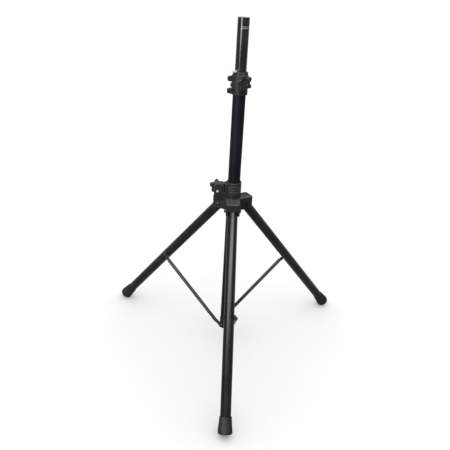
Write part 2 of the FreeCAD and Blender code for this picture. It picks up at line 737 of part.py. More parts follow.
def make_yoke():
    frame = turned(dim.ear_azimuth)
    ear_low, ear_high = ear_middle - dim.ear_height / 2, ear_middle + dim.ear_height / 2
    ears = block("EarBlock", (Size.of(0), dim.ear_reach), (-ear_outside, ear_outside),
                 (ear_low, ear_high))
    end_face = float(dim.ear_reach) - TOLERANCE
    soft_ears = rounded("EarSoft", ears, dim.ear_round, lambda edge: (
        edge.BoundBox.XMin > end_face and edge.BoundBox.YLength > TOLERANCE * 2))
    soft_ears.Placement = frame
    arms, tools = [], []
    for name, azimuth in LEG_AZIMUTHS.items():
        arms.append(yoke_arm(name, azimuth))
        tools += arm_tools(name, azimuth)
    solid = fuse("YokeSolid", [yoke_sleeve(), soft_ears] + arms)
    liner_inside = dim.outer_tube_radius + dim.fit_gap * 2
    liner_outside = liner_inside + dim.liner_thickness
    slit = dim.ear_slit / 2
    screw = frame * at(dim.ear_screw_radius, 0, ear_middle)
    pocket_floor = ear_outside - dim.nut_thickness - dim.nut_sink * 2
    tools += [
        rod("YokeBore", liner_outside + dim.fit_gap, sleeve_high - sleeve_low + dim.overcut * 2,
            at(0, 0, sleeve_low - dim.overcut)),
        block("YokeSlit", (dim.outer_tube_radius / 2, dim.ear_reach + dim.overcut), (-slit, slit),
              (ear_low - dim.part_gap, sleeve_high + dim.overcut), frame),
        rod("EarScrewHole", stud_clear, (ear_outside + dim.overcut) * 2,
            screw * at(0, -ear_outside - dim.overcut, 0, ALONG_Y)),
        hexagon("EarNutPocket", dim.nut_radius + dim.nut_sink, dim.nut_thickness + dim.overcut,
                screw * at(0, pocket_floor, 0, ALONG_Y)),
    ]
    # each ear is thinner next to the sleeve, so that the clamp can bend there
    relief = (dim.ear_relief_start, dim.ear_relief_start + dim.ear_relief_width)
    tall = (ear_high - dim.ear_relief_height, ear_high + dim.overcut)
    shallow, deep = ear_outside + dim.overcut, ear_outside - dim.ear_relief_depth
    tools += [
        block("EarReliefFront", relief, (deep, shallow), tall, frame),
        block("EarReliefRear", relief, (-shallow, -deep), tall, frame),
    ]
    label(cut("LegYoke", solid, tools), "leg_yoke")
    liner = revolved("LinerBlank", tube_corners(
        liner_inside, liner_outside, sleeve_low + dim.liner_set_back,
        sleeve_high - dim.liner_set_back))
    liner_slit = block("LinerSlit", (dim.outer_tube_radius / 2, dim.ear_reach), (-slit, slit),
                       (sleeve_low, sleeve_high), frame)
    label(cut("YokeLiner", liner, [liner_slit]), "yoke_liner")


def domed_head(shank, radius, low, height):
    """Corners of a screw head that stands on low, widest at half of its height."""
    return [(shank, low), (radius, low), (radius, low + height / 2),
            (radius * HEAD_TOP_SHARE, low + height), (0, low + height)]


def make_pivot_bolts():
    bolts, nuts = [], []
    face = dim.arm_half_width + dim.fit_gap
    end = -face - dim.pivot_nut_thickness
    for name, azimuth in LEG_AZIMUTHS.items():
        side = turned(azimuth) * at(dim.pivot_radius, 0, dim.pivot_height, ALONG_Y)
        bolts.append(revolved(f"PivotBolt{name}", [(0, end), (dim.pivot_bolt_radius, end)]
                     + domed_head(dim.pivot_bolt_radius, dim.bolt_head_radius, face,
                                  dim.bolt_head_height), side))
        nut = hexagon(f"PivotNutBlank{name}", dim.nut_radius, dim.pivot_nut_thickness,
                      side * at(0, 0, end))
        bore = rod(f"PivotNutBore{name}", pivot_fit, dim.pivot_nut_thickness + dim.overcut * 2,
                   side * at(0, 0, end - dim.overcut))
        nuts.append(cut(f"PivotNut{name}", nut, [bore]))
    label(group("PivotBolts", bolts), "leg_pivot_bolts")
    label(group("PivotNuts", nuts), "leg_pivot_nuts")


# ---------------------------------------------------------------- legs
def make_leg(name, azimuth):
    frame = leg_frame(azimuth)
    bore = dim.leg_radius - dim.leg_wall
    tube_end = foot_end - dim.foot_sole
    top = dim.leg_end_above_pivot
    through = dim.leg_radius * 4
    pivot_place = at(0, dim.leg_radius * -2, 0, ALONG_Y)
    rivet_place = at(0, dim.leg_radius * -2, -dim.brace_reach_on_leg, ALONG_Y)
    tube = revolved(f"LegTubeBlank{name}", tube_corners(bore, dim.leg_radius, -tube_end, top))
    holes = [rod(f"LegPivotHole{name}", pivot_fit, through, pivot_place),
             rod(f"LegRivetHole{name}", rivet_fit, through, rivet_place)]
    label(cut(f"LegTube{name}", tube, holes, frame), f"leg_tube_{name}")

    plug = bore - dim.fit_gap
    rim = dim.leg_radius - dim.part_gap
    head = revolved(f"LegHeadBlank{name}", [
        (0, top + dim.head_lip), (rim - dim.head_lip, top + dim.head_lip),
        (rim, top + dim.part_gap), (rim, top + dim.fit_gap),
        (plug, top + dim.fit_gap), (plug, top - dim.head_depth), (0, top - dim.head_depth),
    ])
    head_hole = rod(f"LegHeadHole{name}", pivot_fit, through, pivot_place)
    label(cut(f"LegHead{name}", head, [head_hole], frame), f"leg_head_{name}")

    mouth = dim.leg_radius + dim.fit_gap
    start = foot_end - dim.foot_length
    sole = -tube_end - dim.fit_gap
    foot = revolved(f"LegFootBlank{name}", [
        (0, -foot_end), (dim.foot_radius, -foot_end), (dim.foot_radius, dim.foot_bell - foot_end),
        (dim.foot_mouth_radius, -start - dim.foot_neck), (dim.foot_mouth_radius, -start),
        (mouth, -start), (mouth, sole), (0, sole),
    ])
    lowest, rim_width = TOLERANCE - float(foot_end), float(dim.foot_radius)
    soft = rounded(f"LegFoot{name}", foot, dim.foot_round, lambda edge: (
        edge.BoundBox.ZMax < lowest and edge.BoundBox.XLength > rim_width))
    soft.Placement = frame
    label(soft, f"leg_foot_{name}")


# ---------------------------------------------------------------- braces
def brace_section(kind, name, near, half_depth, height, **radii):
    """A flat section of a brace that stands on its inner plane."""
    section = primitive(kind, name, at(0, near + half_depth, height))
    return bind(section, **radii)


def brace_loft(name, sections):
    loft = doc.addObject("Part::Loft", name)
    loft.Sections = sections
    loft.Solid = True
    loft.Ruled = True
    return loft


def make_brace(name, azimuth):
    """A tube with its ends pressed flat into eyes on its inner side."""
    frame = brace_frame(azimuth)
    eye, thick = dim.brace_eye_radius, dim.brace_eye_thickness
    inside = dim.brace_radius - dim.brace_wall
    sections, hollow_sections, solids, holes = [], [], [], []
    ends = (("Top", top_eye_near, 0.0, -1.0, rivet_fit),
            ("Foot", low_eye_near, -brace_length, 1.0, dim.low_screw_radius + dim.fit_gap))
    for end, near, height, inward, hole in ends:
        key = f"{end}{name}"
        eye_edge = height + inward * float(eye)
        tube_edge = eye_edge + inward * float(dim.brace_taper)
        solids += [
            rod(f"BraceEye{key}", eye, thick, at(0, near, height, ALONG_Y)),
            block(f"BraceWeb{key}", (dim.brace_eye_width / -2, dim.brace_eye_width / 2),
                  (near, near + thick), (Size.of(min(height, eye_edge)),
                                         Size.of(max(height, eye_edge)))),
        ]
        holes.append(rod(f"BraceHole{key}", hole, thick + dim.overcut * 2,
                         at(0, near - dim.overcut, height, ALONG_Y)))
        pair = [
            brace_section("Ellipse", f"BraceOval{key}", near, thick / 2, eye_edge,
                          MajorRadius=dim.brace_eye_width / 2, MinorRadius=thick / 2),
            brace_section("Circle", f"BraceRing{key}", near, dim.brace_radius, tube_edge,
                          Radius=dim.brace_radius),
        ]
        sections += pair if end == "Top" else pair[::-1]
        hollow_sections.append(brace_section(
            "Circle", f"BraceBore{key}", near, dim.brace_radius, tube_edge, Radius=inside))
    solids.append(brace_loft(f"BraceTube{name}", sections))
    holes.append(brace_loft(f"BraceHollow{name}", hollow_sections))
    solid = fuse(f"BraceSolid{name}", solids)
    label(cut(f"Brace{name}", solid, holes, frame), f"brace_{name}")

    head = low_eye_near + thick + dim.fit_gap
    corners = [(0, low_eye_near), (dim.low_screw_radius, low_eye_near)]
    corners += domed_head(dim.low_screw_radius, dim.rivet_head_radius, head,
                          dim.rivet_head_height)
    label(revolved(f"LowScrew{name}", corners, frame * at(0, 0, -brace_length, ALONG_Y)),
          f"brace_screw_{name}")


def make_rivet(name, azimuth):
    """The rivet through the leg that the upper eye of a brace turns on."""
    tail = -dim.leg_radius - dim.fit_gap
    tail_end = tail - dim.rivet_head_height / 2
    head = top_eye_near + dim.brace_eye_thickness + dim.part_gap
    corners = [(0, tail_end), (dim.rivet_head_radius, tail_end), (dim.rivet_head_radius, tail),
               (dim.rivet_radius, tail)]
    corners += domed_head(dim.rivet_radius, dim.rivet_head_radius, head, dim.rivet_head_height)
    place = leg_frame(azimuth) * at(0, 0, -dim.brace_reach_on_leg, ALONG_Y)
    label(revolved(f"BraceRivet{name}", corners, place), f"brace_rivet_{name}")


# ---------------------------------------------------------------- assembly
def check_document():
    """Stops on a failed object or on a piece that isn't whole."""
    failed = [item.Name for item in doc.Objects
              if "Invalid" in item.State or "Error" in item.State]
    if failed:
        raise RuntimeError(f"failed objects: {failed}")
    for item in pieces:
        shape = item.Shape
        if shape.isNull() or not shape.isValid() or not shape.Solids:
            raise RuntimeError(f"bad shape: {item.Label}")


def main():
    make_outer_tube()
    make_inner_tube()
    make_guide_bush()
    make_upper_collar()
    make_lower_collar()
    make_collar_clamp()
    make_safety_pin()
    make_yoke()
    make_yoke_clamp()
    make_pivot_bolts()
    for name, azimuth in LEG_AZIMUTHS.items():
        make_leg(name, azimuth)
        make_rivet(name, azimuth)
        make_brace(name, azimuth)
    doc.recompute()
    check_document()
    os.makedirs("parts", exist_ok=True)
    for item in pieces:
        item.Shape.exportStep(f"parts/{item.Label}.step")
        print(f"{item.Label}: {len(item.Shape.Solids)} solid(s), {item.Shape.Volume:.0f} mm3")


main()
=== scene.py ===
"""Looks of a folding tripod stand: its finishes, its moulded pieces and the studio round it.

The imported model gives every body, joint and node. This script dresses the nodes,
puts finer surfaces in place of the two knobs and the three feet, and lights the stand.
Lengths are metres. Angles are radians, but an azimuth is in degrees.
"""
import logging
import math
from dataclasses import dataclass, field
from enum import Enum
from typing import Any, Optional, Protocol, Union

import bmesh
import bpy
import numpy as np
from mathutils import Matrix


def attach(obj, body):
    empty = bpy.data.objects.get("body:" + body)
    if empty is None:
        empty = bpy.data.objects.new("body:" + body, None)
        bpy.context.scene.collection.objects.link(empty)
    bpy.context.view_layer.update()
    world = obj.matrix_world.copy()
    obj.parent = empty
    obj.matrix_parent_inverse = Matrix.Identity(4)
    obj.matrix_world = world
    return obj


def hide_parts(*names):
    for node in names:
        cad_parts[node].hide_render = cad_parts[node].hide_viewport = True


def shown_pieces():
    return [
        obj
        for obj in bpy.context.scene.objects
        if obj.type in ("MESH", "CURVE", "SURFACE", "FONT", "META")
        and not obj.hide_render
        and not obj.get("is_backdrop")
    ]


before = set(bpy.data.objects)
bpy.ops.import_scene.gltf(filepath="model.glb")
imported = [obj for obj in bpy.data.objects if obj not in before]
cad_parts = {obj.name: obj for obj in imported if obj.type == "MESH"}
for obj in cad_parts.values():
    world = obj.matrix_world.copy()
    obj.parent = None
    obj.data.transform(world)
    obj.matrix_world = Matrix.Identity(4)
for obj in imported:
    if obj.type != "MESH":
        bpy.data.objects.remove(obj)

log = logging.getLogger("tripod_stand")
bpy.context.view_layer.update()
TAU = 2.0 * math.pi
UP = np.array([0.0, 0.0, 1.0])
SAME_LEVEL = 2e-5
BEVEL_SAMPLES = 6
EDGE_RAMP = (0.02, 0.30)
LEG_AZIMUTHS = {"front": 270.0, "right": 30.0, "left": 150.0}
Colour = tuple[float, float, float]
Number = Union[float, "Channel"]


# ------------------------------------------------------------------ shader maths
class Channel:
    """One output socket of a shader node, with arithmetic that adds Math nodes."""

    def __init__(self, graph: "Graph", socket: bpy.types.NodeSocket) -> None:
        """Keeps the graph that the socket belongs to.

        Args:
            graph: The material graph in which new nodes are made.
            socket: The output socket that carries the value.
        """
        self.graph = graph
        self.socket = socket

    def _math(self, operation: str, first: Number, second: Number = 0.0) -> "Channel":
        """Adds one Math node.

        Args:
            operation: The Math node's operation.
            first: The upper input.
            second: The lower input.

        Returns:
            The node's result.
        """
        return self.graph.node("ShaderNodeMath", {"operation": operation}, {0: first, 1: second})

    def __add__(self, other: Number) -> "Channel":
        """Sum of two values."""
        return self._math("ADD", self, other)

    def __sub__(self, other: Number) -> "Channel":
        """Difference, with this value first."""
        return self._math("SUBTRACT", self, other)

    def __rsub__(self, other: Number) -> "Channel":
        """Difference, with this value second."""
        return self._math("SUBTRACT", other, self)

    def __mul__(self, other: Number) -> "Channel":
        """Product of two values."""
        return self._math("MULTIPLY", self, other)

    __radd__ = __add__
    __rmul__ = __mul__

    def magnitude(self) -> "Channel":
        """The value without its sign."""
        return self._math("ABSOLUTE", self)

    def ramp(self, low: float, high: float) -> "Channel":
        """A soft step that is 0 at low and 1 at high.

        Args:
            low: The value at which the step starts.
            high: The value at which the step ends.

        Returns:
            The step, between 0 and 1.
        """
        return self.graph.node(
            "ShaderNodeMapRange", {"interpolation_type": "SMOOTHSTEP", "clamp": True},
            {"Value": self, "From Min": low, "From Max": high, "To Min": 0.0, "To Max": 1.0})


class Graph:
    """The node tree of one material."""

    def __init__(self, name: str) -> None:
        """Makes a material with an empty node tree.

        Args:
            name: The material's name.
        """
        self.material = bpy.data.materials.new(name)
        self.material.use_nodes = True
        self.tree = self.material.node_tree
        self.tree.nodes.clear()

    def node(self, kind: str, settings: Optional[dict[str, Any]] = None,
             inputs: Optional[dict[Union[int, str], Any]] = None,
             output: Union[int, str] = 0) -> Channel:
        """Adds a node, sets it up, and then fills or links its sockets.

        Args:
            kind: The node's type.
            settings: Its own settings, which are set first.
            inputs: Values or channels, by socket name or number.
            output: The output socket that is wanted.

        Returns:
            The wanted output.
        """
        made = self.tree.nodes.new(kind)
        for key, setting in (settings or {}).items():
            setattr(made, key, setting)
        for key, value in (inputs or {}).items():
            if isinstance(value, Channel):
                self.tree.links.new(value.socket, made.inputs[key])
            else:
                made.inputs[key].default_value = value
        return Channel(self, made.outputs[output])

    def place(self) -> Channel:
        """Object coordinates: a point of the piece, in metres."""
        return self.node("ShaderNodeTexCoord", output="Object")

    def axes(self, vector: Channel) -> tuple[Channel, Channel, Channel]:
        """The three numbers of a vector.

        Args:
            vector: The vector to take apart.

        Returns:
            Its x, y and z.
        """
        parts = self.node("ShaderNodeSeparateXYZ", None, {0: vector}).socket.node
        return tuple(Channel(self, socket) for socket in parts.outputs)

    def noise(self, size: float, detail: float = 2.0, roughness: float = 0.5,
              stretch: tuple[float, float, float] = (1.0, 1.0, 1.0),
              shift: float = 0.0) -> Channel:
        """Soft noise whose spots are about size across.

        Args:
            size: Width of a spot, in metres.
            detail: Number of finer layers.
            roughness: Weight of the finer layers.
            stretch: How much each axis is squeezed: under 1 makes long spots.
            shift: Moves the pattern, so that two noises differ.

        Returns:
            The noise, between 0 and 1.
        """
        moved = self.node("ShaderNodeMapping", None, {
            "Vector": self.place(), "Location": (shift, shift, shift), "Scale": stretch})
        return self.node("ShaderNodeTexNoise", {"noise_dimensions": "3D"}, {
            "Vector": moved, "Scale": 1.0 / size, "Detail": detail, "Roughness": roughness})

    def blend(self, share: Number, first: Any, second: Any) -> Channel:
        """Mixes two colours.

        Args:
            share: How much of the second colour shows, from 0 to 1.
            first: The colour, or channel, at 0.
            second: The colour, or channel, at 1.

        Returns:
            The mixed colour.
        """
        return self.node("ShaderNodeMix", {"data_type": "RGBA"},
                         {0: share, 6: opaque(first), 7: opaque(second)}, output=2)

    def worn_edges(self, width: float) -> Channel:
        """How near a point is to a sharp edge: the angle between two normals.

        The plain normal is compared with one that is averaged over the width.

        Args:
            width: How far an edge is felt, in metres.

        Returns:
            0 on flat ground, rising to 1 on an edge.
        """
        soft = self.rounded(width)
        plain = self.node("ShaderNodeNewGeometry", output="Normal")
        same = self.node("ShaderNodeVectorMath", {"operation": "DOT_PRODUCT"},
                         {0: soft, 1: plain}, output="Value")
        return (1.0 - same).ramp(*EDGE_RAMP)

    def rounded(self, radius: float) -> Channel:
        """The normal that the piece would have with its edges rounded by radius."""
        return self.node("ShaderNodeBevel", {"samples": BEVEL_SAMPLES}, {"Radius": radius})

    def bump(self, height: Channel, depth: float, edge: float) -> Channel:
        """Turns a height into a normal.

        Args:
            height: The height, between 0 and 1.
            depth: What a height of 1 stands for, in metres.
            edge: Radius by which sharp edges look rounded, in metres.

        Returns:
            The normal.
        """
        return self.node("ShaderNodeBump", None, {
            "Height": height, "Distance": depth, "Normal": self.rounded(edge)})

    def surface(self, inputs: dict[str, Any]) -> bpy.types.Material:
        """Closes the graph with a Principled surface.

        Args:
            inputs: Values or channels by the socket's name.

        Returns:
            The finished material.
        """
        shader = self.node("ShaderNodeBsdfPrincipled", None, {
            key: opaque(value) for key, value in inputs.items()})
        end = self.tree.nodes.new("ShaderNodeOutputMaterial")
        self.tree.links.new(shader.socket, end.inputs["Surface"])
        return self.material


def opaque(colour: Any) -> Any:
    """Adds full opacity to a plain colour, and leaves anything else as it is."""
    return (*colour, 1.0) if isinstance(colour, tuple) and len(colour) == 3 else colour


# ---------------------------------------------------------------------- finishes
class Finish(Protocol):
    """Anything that can make a material."""

    def material(self, name: str) -> bpy.types.Material:
        """Makes the finish as a material of that name."""


@dataclass(frozen=True)
class PaintedSteel:
    """Sprayed steel tube: orange peel, rubbed streaks and paler edges."""

    colour: Colour
    rubbed: Colour
    roughness: float
    specular: float
    cloud_size: float = 0.09
    fine_size: float = 0.0035
    streak_size: float = 0.006
    streak_squeeze: float = 0.09
    peel_size: float = 0.0016
    peel_depth: float = 0.000025
    streaks: float = 0.35
    edge_width: float = 0.0012
    soften: float = 0.0004
    coat_roughness: float = 0.16
    coat: float = 0.0
    rings: tuple[float, ...] = ()
    ring_colour: Colour = (0.085, 0.09, 0.087)
    ring_half: float = 0.00038
    ring_start: tuple[float, float] = (-0.007, -0.004)
    ring_wear_size: float = 0.004

    def ring_mask(self, graph: Graph) -> Channel:
        """Thin printed marks part of the way round a vertical pole, worn away in spots.

        Args:
            graph: The material's graph.

        Returns:
            1 on a mark and 0 off it.
        """
        across, _, height = graph.axes(graph.place())
        marks = [1.0 - (height - level).magnitude().ramp(self.ring_half, self.ring_half * 1.5)
                 for level in self.rings]
        kept = graph.noise(self.ring_wear_size, detail=3.0, shift=3.1).ramp(0.34, 0.44)
        return sum(marks[1:], marks[0]) * kept * across.ramp(*self.ring_start)

    def material(self, name: str) -> bpy.types.Material:
        """Makes the paint.

        Args:
            name: The material's name.

        Returns:
            The material.
        """
        graph = Graph(name)
        cloud = graph.noise(self.cloud_size, detail=3.0).ramp(0.35, 0.70)
        fine = graph.noise(self.fine_size, detail=4.0, roughness=0.65, shift=1.7)
        streak = graph.noise(self.streak_size, detail=3.0,
                             stretch=(1.0, 1.0, self.streak_squeeze), shift=5.3)
        rub = streak.ramp(0.60, 0.74) * self.streaks
        edge = graph.worn_edges(self.edge_width) * fine.ramp(0.35, 0.65)
        deep = tuple(0.62 * part for part in self.colour)
        colour = graph.blend(cloud, deep, self.colour)
        colour = graph.blend(rub, colour, self.rubbed)
        colour = graph.blend(edge * 0.6, colour, self.rubbed)
        rough = cloud * 0.06 + rub * 0.14 + fine * 0.05 + (self.roughness - 0.05)
        if self.rings:
            mask = self.ring_mask(graph)
            colour = graph.blend(mask, colour, self.ring_colour)
            rough = rough + mask * 0.25
        peel = graph.noise(self.peel_size, detail=1.0)
        return graph.surface({
            "Base Color": colour, "Roughness": rough, "Specular IOR Level": self.specular,
            "Coat Weight": self.coat, "Coat Roughness": self.coat_roughness,
            "Normal": graph.bump(peel, self.peel_depth, self.soften)})


@dataclass(frozen=True)
class MouldedPlastic:
    """Moulded plastic: fine grain, paler edges, and upward faces paled by painted top light with
    a little dust.
    """

    colour: Colour
    worn: Colour
    # Pale tone that upward faces take: painted top light, with a little dust.
    dust: Colour
    roughness: float
    specular: float = 0.3
    cloud_size: float = 0.018
    speck_size: float = 0.0026
    grain_size: float = 0.0007
    grain_depth: float = 0.00005
    edge_width: float = 0.0014
    edge_share: float = 0.5
    painted_top_light_and_dust_share: float = 0.35
    soften: float = 0.0008

    def material(self, name: str) -> bpy.types.Material:
        """Makes the plastic.

        Args:
            name: The material's name.

        Returns:
            The material.
        """
        graph = Graph(name)
        cloud = graph.noise(self.cloud_size, detail=3.0).ramp(0.30, 0.72)
        grain = graph.noise(self.grain_size, detail=2.0, roughness=0.6)
        speck = graph.noise(self.speck_size, detail=4.0, roughness=0.7, shift=2.3)
        # Upward faces pale towards the dust colour: painted top light, with a little dust.
        up = graph.axes(graph.node("ShaderNodeTexCoord", output="Normal"))[2]
        dusty = up.ramp(0.15, 0.95) * (speck * 0.8 + 0.35) * self.painted_top_light_and_dust_share
        edge = graph.worn_edges(self.edge_width) * (speck * 0.9 + 0.3) * self.edge_share
        deep = tuple(0.7 * part for part in self.colour)
        colour = graph.blend(cloud, deep, self.colour)
        # Painted top light, with a little dust, on upward faces.
        colour = graph.blend(dusty, colour, self.dust)
        colour = graph.blend(edge, colour, self.worn)
        rough = cloud * 0.08 + grain * 0.10 + dusty * 0.2 + (self.roughness - 0.1)
        return graph.surface({
            "Base Color": colour, "Roughness": rough, "Specular IOR Level": self.specular,
            "Normal": graph.bump(grain, self.grain_depth, self.soften)})


@dataclass(frozen=True)
class SoftRubber:
    """Rubber of the feet: pebbled, with floor dust low down."""

    colour: Colour = (0.0030, 0.0030, 0.0032)
    dust: Colour = (0.022, 0.021, 0.019)
    worn: Colour = (0.016, 0.016, 0.015)
    roughness: float = 0.55
    specular: float = 0.05
    dust_height: float = 0.020
    cloud_size: float = 0.012
    pebble_scale: float = 620.0
    pebble_depth: float = 0.00022
    edge_width: float = 0.0016
    soften: float = 0.0008

    def material(self, name: str) -> bpy.types.Material:
        """Makes the rubber.

        Args:
            name: The material's name.

        Returns:
            The material.
        """
        graph = Graph(name)
        pebble = graph.node("ShaderNodeTexVoronoi", {"feature": "SMOOTH_F1"},
                            {"Vector": graph.place(), "Scale": self.pebble_scale},
                            output="Distance")
        cloud = graph.noise(self.cloud_size, detail=4.0, roughness=0.6)
        low = 1.0 - graph.axes(graph.place())[2].ramp(0.002, self.dust_height)
        dusty = (low * 0.5 + 0.12) * cloud.ramp(0.38, 0.66)
        edge = graph.worn_edges(self.edge_width) * cloud.ramp(0.3, 0.6)
        colour = graph.blend(dusty, self.colour, self.dust)
        colour = graph.blend(edge * 0.5, colour, self.worn)
        rough = cloud * 0.12 + dusty * 0.2 + (self.roughness - 0.06)
        height = pebble * 0.7 + cloud * 0.3
        return graph.surface({
            "Base Color": colour, "Roughness": rough, "Specular IOR Level": self.specular,
            "Normal": graph.bump(height, self.pebble_depth, self.soften)})


@dataclass(frozen=True)
class PlatedMetal:
    """Bare or plated metal: turning marks, clouded plating and dark pits."""

    colour: Colour
    dull: Colour
    roughness: float
    metallic: float = 1.0
    marks: tuple[float, float, float] = (1.0, 1.0, 0.15)
    cloud_size: float = 0.006
    line_size: float = 0.0009
    line_depth: float = 0.00003
    pit_size: float = 0.0011
    edge_width: float = 0.0006
    soften: float = 0.0003

    def material(self, name: str) -> bpy.types.Material:
        """Makes the metal.

        Args:
            name: The material's name.

        Returns:
            The material.
        """
        graph = Graph(name)
        cloud = graph.noise(self.cloud_size, detail=4.0, roughness=0.6)
        lines = graph.noise(self.line_size, detail=2.0, stretch=self.marks, shift=4.4)
        pits = graph.noise(self.pit_size, detail=2.0, shift=7.7).ramp(0.66, 0.74)
        colour = graph.blend(cloud.ramp(0.35, 0.68), self.dull, self.colour)
        colour = graph.blend(graph.worn_edges(self.edge_width) * 0.5, colour, self.colour)
        colour = graph.blend(pits * 0.6, colour, tuple(0.3 * part for part in self.dull))
        rough = lines * 0.12 + cloud * 0.10 + pits * 0.25 + (self.roughness - 0.1)
        return graph.surface({
            "Base Color": colour, "Roughness": rough, "Metallic": self.metallic,
            "Normal": graph.bump(lines, self.line_depth, self.soften)})


class Slot(Enum):
    """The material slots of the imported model, each with its finish."""

    inner_tube_paint = PaintedSteel(
        (0.0020, 0.0022, 0.0024), (0.010, 0.011, 0.011), 0.22, 0.10, peel_depth=0.000004,
        streaks=0.08, coat=0.05, rings=(1.1055, 1.1010))
    outer_tube_paint = PaintedSteel((0.0014, 0.0016, 0.0024), (0.004, 0.0045, 0.006), 0.44, 0.03)
    leg_paint = PaintedSteel((0.0022, 0.0024, 0.0024), (0.010, 0.0105, 0.0095), 0.26, 0.085)
    brace_paint = PaintedSteel((0.0045, 0.0045, 0.0045), (0.02, 0.02, 0.019), 0.40, 0.10)
    # A plastic's third colour is the pale tone of its upward faces: painted top light with a
    # little dust.
    moulded_black = MouldedPlastic(
        (0.0030, 0.0033, 0.0036), (0.020, 0.022, 0.022), (0.046, 0.049, 0.040), 0.48, 0.06)
    knob_plastic = MouldedPlastic(
        (0.0030, 0.0031, 0.0038), (0.018, 0.019, 0.021), (0.026, 0.027, 0.028), 0.42, 0.07)
    cap_plastic = MouldedPlastic(
        (0.012, 0.012, 0.012), (0.04, 0.04, 0.04), (0.06, 0.06, 0.058), 0.36, 0.3,
        grain_depth=0.00002)
    bush_nylon = MouldedPlastic(
        (0.020, 0.020, 0.021), (0.06, 0.06, 0.06), (0.07, 0.07, 0.066), 0.48, 0.4,
        grain_depth=0.00002)
    zinc_steel = PlatedMetal((0.52, 0.52, 0.48), (0.30, 0.29, 0.25), 0.34)
    dark_steel = PlatedMetal((0.020, 0.020, 0.0195), (0.010, 0.010, 0.010), 0.42)
    brass = PlatedMetal((0.72, 0.56, 0.28), (0.46, 0.34, 0.16), 0.32)
    foot_rubber = SoftRubber()


class Wardrobe:
    """Makes each slot's material once, and dresses pieces with it."""

    def __init__(self) -> None:
        """Starts with no materials."""
        self.made: dict[Slot, bpy.types.Material] = {}

    def material(self, slot: Slot) -> bpy.types.Material:
        """The material of a slot, made on first use."""
        if slot not in self.made:
            finish: Finish = slot.value
            self.made[slot] = finish.material(slot.name)
        return self.made[slot]

    def dress(self, piece: bpy.types.Object, slot: Slot) -> None:
        """Puts a slot's material on a piece.

        Args:
            piece: The piece to dress.
            slot: The slot whose finish it takes.
        """
        places = piece.material_slots
        if places:
            for place in places:
                place.material = self.material(slot)
        else:
            piece.data.materials.append(self.material(slot))

    def dress_node(self, name: str, slot: Slot) -> None:
        """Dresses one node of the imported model.

        Args:
            name: The node's name.
            slot: The slot whose finish it takes.
        """
        self.dress(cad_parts[name], slot)
        log.info("dressed %s with %s", name, slot.name)


# ------------------------------------------------------------------------ shapes
@dataclass(frozen=True)
class Axis:
    """A line in space with two directions square to it."""

    origin: np.ndarray
    along: np.ndarray
    first: np.ndarray
    second: np.ndarray

    @classmethod
    def through(cls, origin: Any, along: Any, near: Any = UP) -> "Axis":
        """Builds the axis.

        The first cross direction is near, made square to the line.

        Args:
            origin: A point of the line.
            along: The line's direction.
            near: A direction that the first cross direction keeps to.

        Returns:
            The axis.
        """
        line = np.asarray(along, float) / np.linalg.norm(along)
        first = np.asarray(near, float) - line * np.dot(near, line)
        first = first / np.linalg.norm(first)
        return cls(np.asarray(origin, float), line, first, np.cross(line, first))

    def local(self, points: np.ndarray) -> tuple[np.ndarray, np.ndarray, np.ndarray]:
        """Distance along the axis, radius and angle of points, as three arrays."""
        away = points - self.origin
        x, y = away @ self.first, away @ self.second
        return away @ self.along, np.hypot(x, y), np.arctan2(y, x)

    def place(self, radius: np.ndarray, angle: np.ndarray, level: np.ndarray) -> np.ndarray:
        """Points from radius, angle and distance along the axis.

        Point = origin + level x along + radius x (cos angle x first + sin angle x second).

        Args:
            radius: Distance from the axis.
            angle: Angle round the axis.
            level: Distance along the axis.

        Returns:
            The points, with one more dimension than the inputs.
        """
        radius, angle, level = np.broadcast_arrays(radius, angle, level)
        return (self.origin + level[..., None] * self.along
                + (radius * np.cos(angle))[..., None] * self.first
                + (radius * np.sin(angle))[..., None] * self.second)


def node_points(name: str) -> np.ndarray:
    """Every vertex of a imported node, as rows of x, y and z.

    Args:
        name: The node's name.

    Returns:
        The points, in metres.
    """
    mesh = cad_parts[name].data
    flat = np.zeros(len(mesh.vertices) * 3, np.float32)
    mesh.vertices.foreach_get("co", flat)
    return flat.reshape(-1, 3).astype(float)


def grid_mesh(name: str, points: np.ndarray) -> bpy.types.Object:
    """A closed surface from rings of points, each ring joined to the next.

    Row by row the rings run from one pole to the other. A ring of no radius is a pole:
    its points merge into one. Faces join point j of ring i to point j + 1 of ring i + 1.

    Args:
        name: The new object's name.
        points: Array of rings, points of a ring, and x, y, z.

    Returns:
        The object, at the origin, with its normals outward and shaded smooth.
    """
    rings, around = points.shape[:2]
    index = np.arange(rings * around).reshape(rings, around)
    after = np.roll(index, -1, axis=1)
    faces = np.stack([index[:-1], after[:-1], after[1:], index[1:]], axis=-1).reshape(-1, 4)
    mesh = bpy.data.meshes.new(name)
    mesh.from_pydata(points.reshape(-1, 3).tolist(), [], faces.tolist())
    work = bmesh.new()
    work.from_mesh(mesh)
    bmesh.ops.remove_doubles(work, verts=work.verts, dist=1e-7)
    bmesh.ops.dissolve_degenerate(work, edges=work.edges, dist=1e-8)
    bmesh.ops.recalc_face_normals(work, faces=work.faces)
    work.to_mesh(mesh)
    work.free()
    mesh.shade_smooth()
    piece = bpy.data.objects.new(name, mesh)
    bpy.context.scene.collection.objects.link(piece)
    return piece


def finer(stations: np.ndarray, step: float) -> np.ndarray:
    """Adds points to a polyline so that none of its parts is longer than step.

    Each part is cut into equal shares, by linear interpolation on its running length.

    Args:
        stations: The polyline, one point a row.
        step: The longest part that may be left.

    Returns:
        The finer polyline, which keeps every old point.
    """
    gaps = np.linalg.norm(np.diff(stations[:, :2], axis=0), axis=1)
    run = np.concatenate([[0.0], np.cumsum(gaps)])
    wanted = np.unique(np.concatenate([run, np.arange(0.0, run[-1], step)]))
    return np.stack([np.interp(wanted, run, column) for column in stations.T], axis=1)


